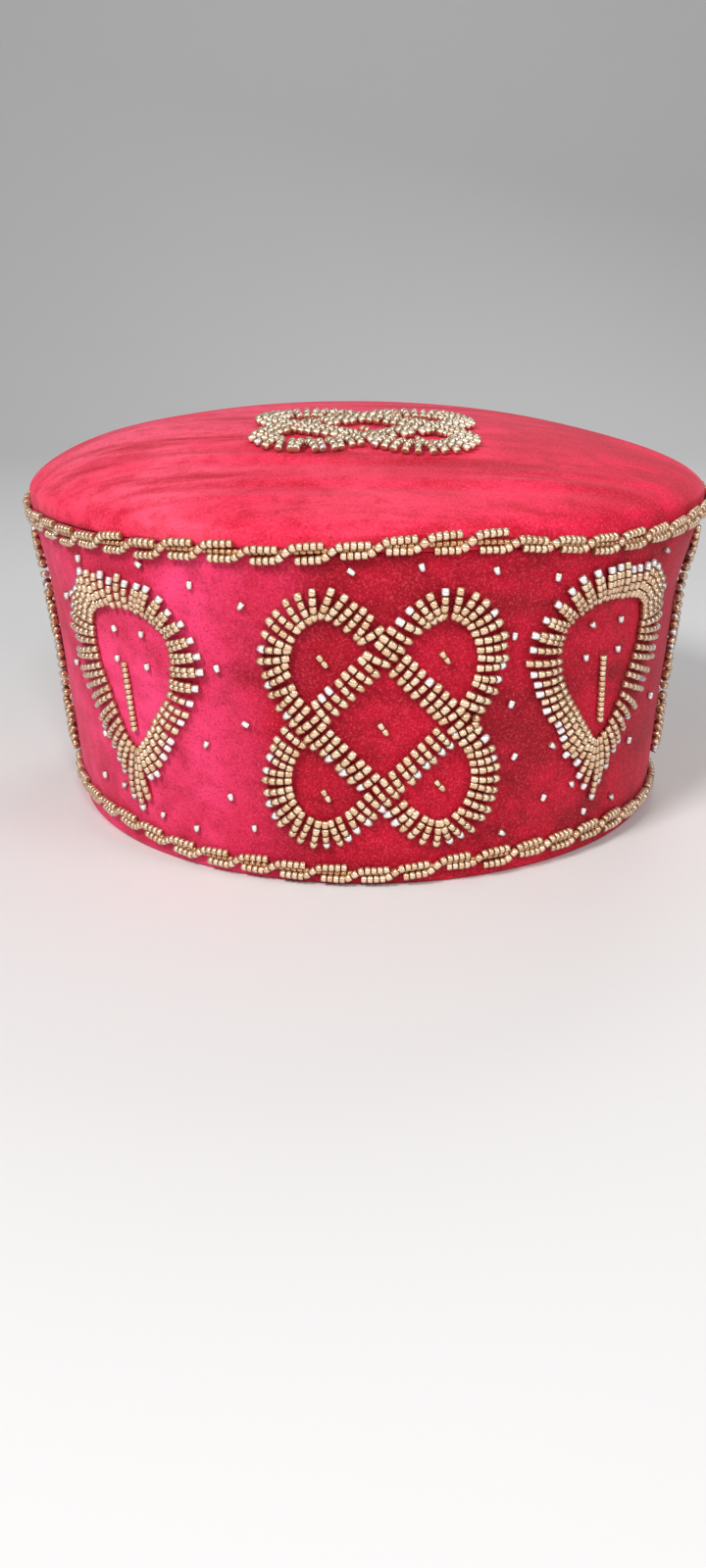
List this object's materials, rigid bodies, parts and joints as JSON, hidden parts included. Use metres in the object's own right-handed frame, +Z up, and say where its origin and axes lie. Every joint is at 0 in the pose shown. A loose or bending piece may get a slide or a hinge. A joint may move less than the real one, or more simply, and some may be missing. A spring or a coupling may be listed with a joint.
{
  "type": "wedding cap",
  "caption": "Stiff round velvet cap with a flared side band and domed crown, bead rope borders, and beaded knots and pears; it rests on its hem and is open below for a head.",
  "frame": {"origin": "middle of the hem's plane, on the surface that the cap rests on", "axes": "+Z up through the middle of the crown, -Y towards the front of the cap, +X towards the right of a viewer who faces the front"},
  "size_m": [0.2178, 0.2202, 0.1234],
  "materials": {
    "velvet": "red velvet with a short soft pile",
    "gold_beads": "glossy silver-lined gold glass"
  },
  "bodies": {
    "root": {"side_band": "velvet", "crown_top": "velvet", "top_rope": "gold_beads", "hem_rope": "gold_beads", "knot_front": "gold_beads", "knot_right": "gold_beads", "knot_back": "gold_beads", "knot_left": "gold_beads", "crown_knot": "gold_beads", "pear_front_left": "gold_beads", "pear_front_right": "gold_beads", "pear_back_right": "gold_beads", "pear_back_left": "gold_beads", "vein_front_left": "gold_beads", "vein_front_right": "gold_beads", "vein_back_right": "gold_beads", "vein_back_left": "gold_beads"}
  },
  "joints": []
}
